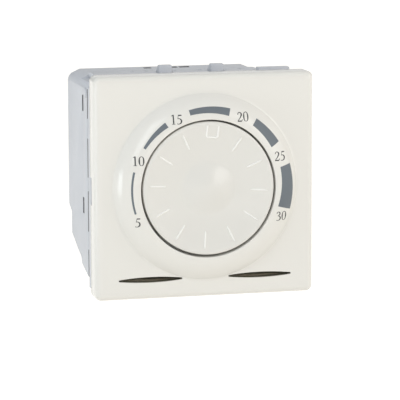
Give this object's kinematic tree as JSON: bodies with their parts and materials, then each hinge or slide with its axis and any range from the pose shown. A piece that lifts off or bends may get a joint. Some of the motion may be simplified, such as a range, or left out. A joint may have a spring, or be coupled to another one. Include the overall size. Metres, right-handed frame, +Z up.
{
  "type": "wall thermostat",
  "caption": "Flush wall thermostat module: a round setting knob in a square ivory cover, on a clip-in grey body with screw terminals.",
  "frame": {"origin": "middle of the seat plane, the flange's rear face, where the mounting frame of the wall box touches the module; on the axis of the knob", "axes": "+Z up, the cover and the knob face -Y, +Y runs into the wall, +X is to the right of someone who looks at the front"},
  "size_m": [0.045, 0.0314, 0.0458],
  "materials": {
    "cover_plastic": "satin moulded ivory-white plastic",
    "knob_plastic": "satin moulded ivory-white plastic",
    "carrier_plastic": "fine-textured light grey moulding",
    "body_plastic": "fine-textured light blue-grey moulding",
    "terminal_plastic": "matt grey moulding",
    "board_laminate": "green solder resist on glass-epoxy",
    "component_black": "black moulded or sleeved component",
    "component_yellow": "yellow film capacitor case",
    "component_blue": "blue dipped coating",
    "relay_shell": "blue relay case",
    "track_laminate": "brown paper laminate with a carbon track",
    "zinc_steel": "zinc-plated steel",
    "brass": "plain brass",
    "copper_winding": "enamelled copper wire",
    "spring_steel": "spring steel strip",
    "aluminium_can": "turned aluminium"
  },
  "bodies": {
    "root": {"front_cover": "cover_plastic", "carrier_frame": "carrier_plastic", "rear_housing": "body_plastic", "terminal_block": "terminal_plastic", "contact_bar_1": "brass", "contact_bar_2": "brass", "contact_bar_3": "brass", "contact_bar_4": "brass", "control_board": "board_laminate", "power_board": "board_laminate", "board_connector": "component_black", "potentiometer_case": "component_black", "track_wafer": "track_laminate", "temperature_sensor": "component_black", "microcontroller": "component_black", "film_capacitor": "component_yellow", "electrolytic_capacitor": "component_black", "varistor": "component_blue", "dropper_resistor": "component_blue", "relay_base": "component_black", "relay_coil": "copper_winding", "relay_yoke": "zinc_steel", "relay_fixed_contact": "brass", "relay_cover": "relay_shell"},
    "knob": {"knob_cap": "knob_plastic", "potentiometer_shaft": "aluminium_can", "knob_spring_clip": "spring_steel", "wiper": "brass"},
    "latch_left": {"upper_latch_left": "carrier_plastic"},
    "latch_right": {"upper_latch_right": "carrier_plastic"},
    "armature": {"relay_armature": "zinc_steel"},
    "screw_1": {"terminal_screw_1": "zinc_steel"},
    "clamp_1": {"wire_clamp_1": "zinc_steel"},
    "screw_2": {"terminal_screw_2": "zinc_steel"},
    "clamp_2": {"wire_clamp_2": "zinc_steel"},
    "screw_3": {"terminal_screw_3": "zinc_steel"},
    "clamp_3": {"wire_clamp_3": "zinc_steel"},
    "screw_4": {"terminal_screw_4": "zinc_steel"},
    "clamp_4": {"wire_clamp_4": "zinc_steel"}
  },
  "joints": [
    {"name": "knob_turn", "type": "hinge", "parent": "root", "child": "knob", "pos_m": [0, 0, 0], "axis": [0, 1, 0], "range_deg": [-116.5, 108.5]},
    {"name": "latch_left_flex", "type": "hinge", "parent": "root", "child": "latch_left", "pos_m": [-0.0054, 0.014, 0.0212], "axis": [1, 0, 0], "range_deg": [0, 9.5], "stiffness_Nm_per_rad": 0.06},
    {"name": "latch_right_flex", "type": "hinge", "parent": "root", "child": "latch_right", "pos_m": [0.0054, 0.014, 0.0212], "axis": [1, 0, 0], "range_deg": [0, 9.5], "stiffness_Nm_per_rad": 0.06},
    {"name": "armature_pull", "type": "hinge", "parent": "root", "child": "armature", "pos_m": [-0.00785, 0.0089, 0.0036], "axis": [0, -1, 0], "range_deg": [0, 5], "stiffness_Nm_per_rad": 0.002, "springref_deg": -5.16},
    {"name": "screw_1_turn", "type": "hinge", "parent": "root", "child": "screw_1", "pos_m": [-0.0123, 0.0076, -0.0185], "axis": [0, 0, 1], "range_deg": [0, 1224.5]},
    {"name": "clamp_1_slide", "type": "slide", "parent": "root", "child": "clamp_1", "axis": [0, 0, -1], "range_m": [0, 0.0017]},
    {"name": "screw_2_turn", "type": "hinge", "parent": "root", "child": "screw_2", "pos_m": [-0.0041, 0.0076, -0.0185], "axis": [0, 0, 1], "range_deg": [0, 1224.5]},
    {"name": "clamp_2_slide", "type": "slide", "parent": "root", "child": "clamp_2", "axis": [0, 0, -1], "range_m": [0, 0.0017]},
    {"name": "screw_3_turn", "type": "hinge", "parent": "root", "child": "screw_3", "pos_m": [0.0041, 0.0076, -0.0185], "axis": [0, 0, 1], "range_deg": [0, 1224.5]},
    {"name": "clamp_3_slide", "type": "slide", "parent": "root", "child": "clamp_3", "axis": [0, 0, -1], "range_m": [0, 0.0017]},
    {"name": "screw_4_turn", "type": "hinge", "parent": "root", "child": "screw_4", "pos_m": [0.0123, 0.0076, -0.0185], "axis": [0, 0, 1], "range_deg": [0, 1224.5]},
    {"name": "clamp_4_slide", "type": "slide", "parent": "root", "child": "clamp_4", "axis": [0, 0, -1], "range_m": [0, 0.0017]}
  ],
  "couplings": [
    {"joint": "screw_1_turn", "follows": "clamp_1_slide", "rad_per_m": 12566},
    {"joint": "screw_2_turn", "follows": "clamp_2_slide", "rad_per_m": 12566},
    {"joint": "screw_3_turn", "follows": "clamp_3_slide", "rad_per_m": 12566},
    {"joint": "screw_4_turn", "follows": "clamp_4_slide", "rad_per_m": 12566}
  ]
}
